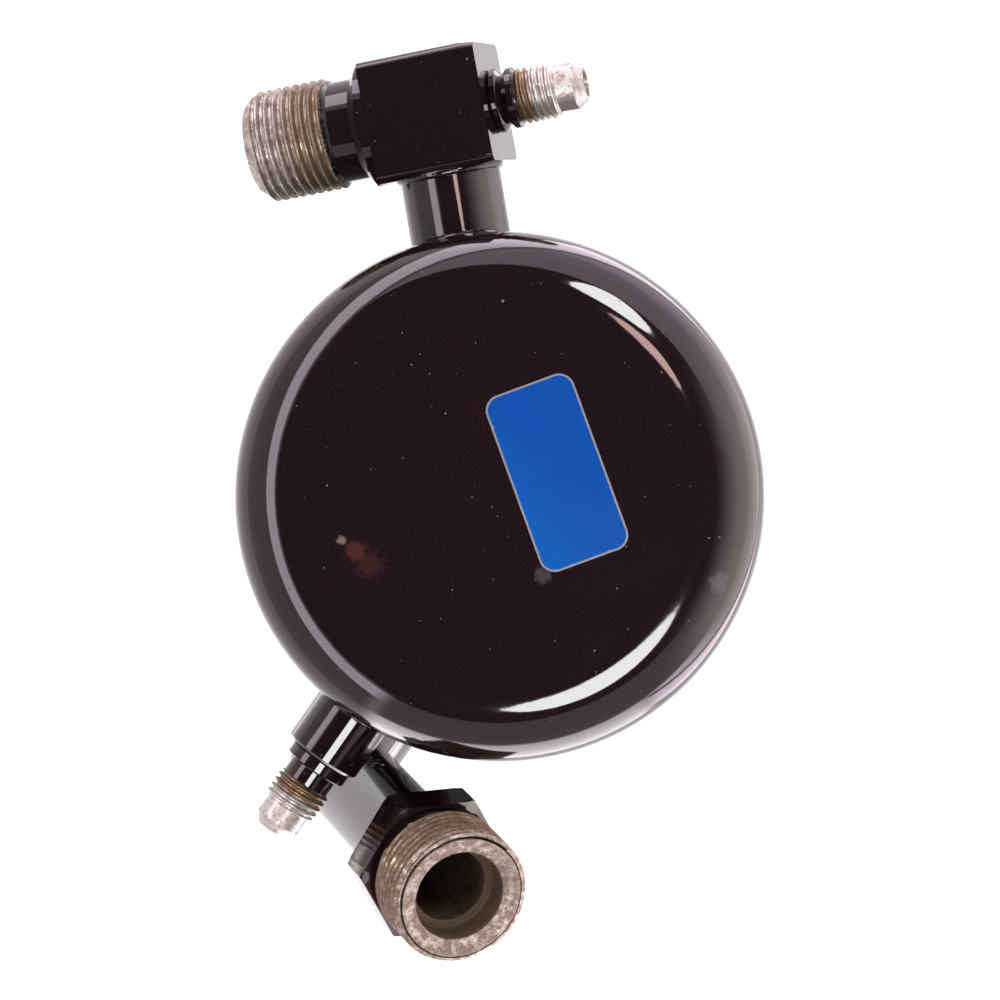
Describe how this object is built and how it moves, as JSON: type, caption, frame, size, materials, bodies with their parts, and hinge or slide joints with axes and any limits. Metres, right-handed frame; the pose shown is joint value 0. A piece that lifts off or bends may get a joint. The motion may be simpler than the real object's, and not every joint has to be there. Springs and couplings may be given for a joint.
{
  "type": "receiver drier",
  "caption": "Round steel receiver drier: black can with flat ends, a block outlet and a leaning inlet with male threads, two valved service ports and a bed of drying beads inside.",
  "frame": {"origin": "centre of the can's flat base", "axes": "+Z along the can's axis towards the end with the label; +Y towards the side of the outlet block; the inlet and the switch port face -X -Y"},
  "size_m": [0.1036, 0.1799, 0.1501],
  "materials": {
    "black_paint": "gloss",
    "bare_steel": "satin, a little rusty",
    "brass": "satin",
    "spring_steel": "satin",
    "rubber": "matte",
    "white_plastic": "satin",
    "filter_felt": "matte",
    "desiccant": "matte",
    "label_foil": "glossy"
  },
  "bodies": {
    "drier": {"charge_port": "bare_steel", "charge_valve_core_body": "brass", "charge_valve_gasket": "white_plastic", "charge_valve_spring": "spring_steel", "desiccant_bed": "desiccant", "inlet_fitting": "black_paint", "inlet_stub": "black_paint", "label": "label_foil", "lower_filter_pad": "filter_felt", "lower_perforated_plate": "bare_steel", "lower_shell": "black_paint", "outlet_block": "black_paint", "outlet_stub": "black_paint", "pack_spring": "spring_steel", "pickup_strainer": "brass", "pickup_tube": "bare_steel", "spring_stop": "bare_steel", "switch_port": "bare_steel", "switch_port_boss": "black_paint", "switch_valve_core_body": "brass", "switch_valve_gasket": "white_plastic", "switch_valve_spring": "spring_steel", "upper_filter_pad": "filter_felt", "upper_perforated_plate": "bare_steel", "upper_shell": "black_paint"},
    "charge_valve": {"charge_valve_pin": "brass", "charge_valve_seal": "rubber"},
    "switch_valve": {"switch_valve_pin": "brass", "switch_valve_seal": "rubber"}
  },
  "joints": [
    {"name": "charge_valve_press", "type": "slide", "parent": "drier", "child": "charge_valve", "axis": [-0.9741, -0.163, -0.1564], "range_m": [0, 0.0012], "stiffness_N_per_m": 1500, "springref_m": -0.002, "deforming": ["charge_valve_spring"]},
    {"name": "switch_valve_press", "type": "slide", "parent": "drier", "child": "switch_valve", "axis": [0.5736, 0.8192, 0], "range_m": [0, 0.0012], "stiffness_N_per_m": 1500, "springref_m": -0.002, "deforming": ["switch_valve_spring"]}
  ]
}
